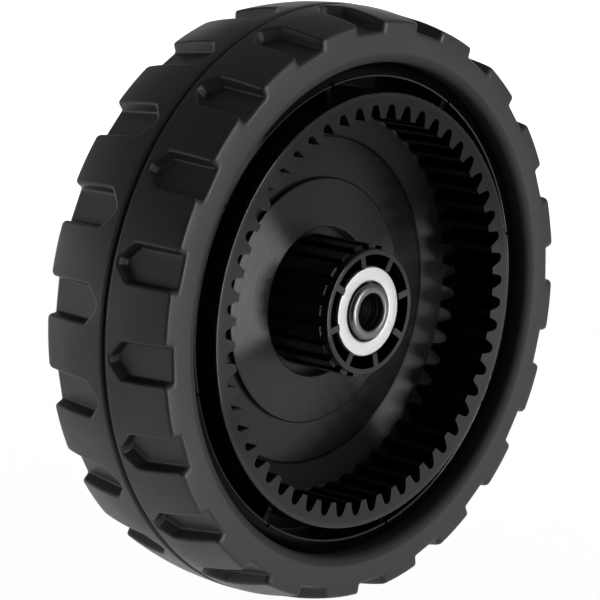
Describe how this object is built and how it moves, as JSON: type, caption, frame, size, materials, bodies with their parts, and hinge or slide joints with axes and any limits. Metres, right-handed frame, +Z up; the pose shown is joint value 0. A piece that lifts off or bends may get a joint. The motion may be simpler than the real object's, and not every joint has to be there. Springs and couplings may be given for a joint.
{
  "type": "lawn mower drive wheel",
  "caption": "Moulded mower wheel with a pocketed tread ring, an internal ring gear round a ribbed hub, and a ball bearing at each end of the hub.",
  "frame": {"origin": "middle of the wheel: on the axle line, half way across the tyre's width", "axes": "+Y along the axle away from the gear side, +Z up, +X to the right when looking at the gear"},
  "size_m": [0.2016, 0.054, 0.2016],
  "materials": {
    "tyre": "matte moulded tread",
    "wheel_plastic": "black moulded plastic, half gloss",
    "zinc_plate": "pale zinc plate",
    "race_steel": "turned and polished steel",
    "ball_steel": "polished balls"
  },
  "bodies": {
    "axle_side": {"front_inner_race": "race_steel", "rear_inner_race": "race_steel", "bearing_spacer": "race_steel"},
    "wheel": {"tyre": "tyre", "wheel_body": "wheel_plastic", "front_bearing_shell": "zinc_plate", "rear_bearing_shell": "zinc_plate"},
    "front_balls": {"front_ball_01": "ball_steel", "front_ball_02": "ball_steel", "front_ball_03": "ball_steel", "front_ball_04": "ball_steel", "front_ball_05": "ball_steel", "front_ball_06": "ball_steel", "front_ball_07": "ball_steel", "front_ball_08": "ball_steel", "front_ball_09": "ball_steel", "front_ball_10": "ball_steel", "front_ball_11": "ball_steel", "front_ball_12": "ball_steel", "front_ball_13": "ball_steel", "front_ball_14": "ball_steel", "front_ball_15": "ball_steel", "front_ball_16": "ball_steel"},
    "rear_balls": {"rear_ball_01": "ball_steel", "rear_ball_02": "ball_steel", "rear_ball_03": "ball_steel", "rear_ball_04": "ball_steel", "rear_ball_05": "ball_steel", "rear_ball_06": "ball_steel", "rear_ball_07": "ball_steel", "rear_ball_08": "ball_steel", "rear_ball_09": "ball_steel", "rear_ball_10": "ball_steel", "rear_ball_11": "ball_steel", "rear_ball_12": "ball_steel", "rear_ball_13": "ball_steel", "rear_ball_14": "ball_steel", "rear_ball_15": "ball_steel", "rear_ball_16": "ball_steel"}
  },
  "joints": [
    {"name": "wheel_spin", "type": "hinge", "parent": "axle_side", "child": "wheel", "pos_m": [0, 0, 0], "axis": [0, 1, 0], "continuous": true},
    {"name": "front_ball_orbit", "type": "hinge", "parent": "axle_side", "child": "front_balls", "pos_m": [0, 0, 0], "axis": [0, 1, 0], "continuous": true},
    {"name": "rear_ball_orbit", "type": "hinge", "parent": "axle_side", "child": "rear_balls", "pos_m": [0, 0, 0], "axis": [0, 1, 0], "continuous": true}
  ],
  "couplings": [
    {"joint": "front_ball_orbit", "follows": "wheel_spin", "ratio": 0.59543},
    {"joint": "rear_ball_orbit", "follows": "wheel_spin", "ratio": 0.59543}
  ]
}
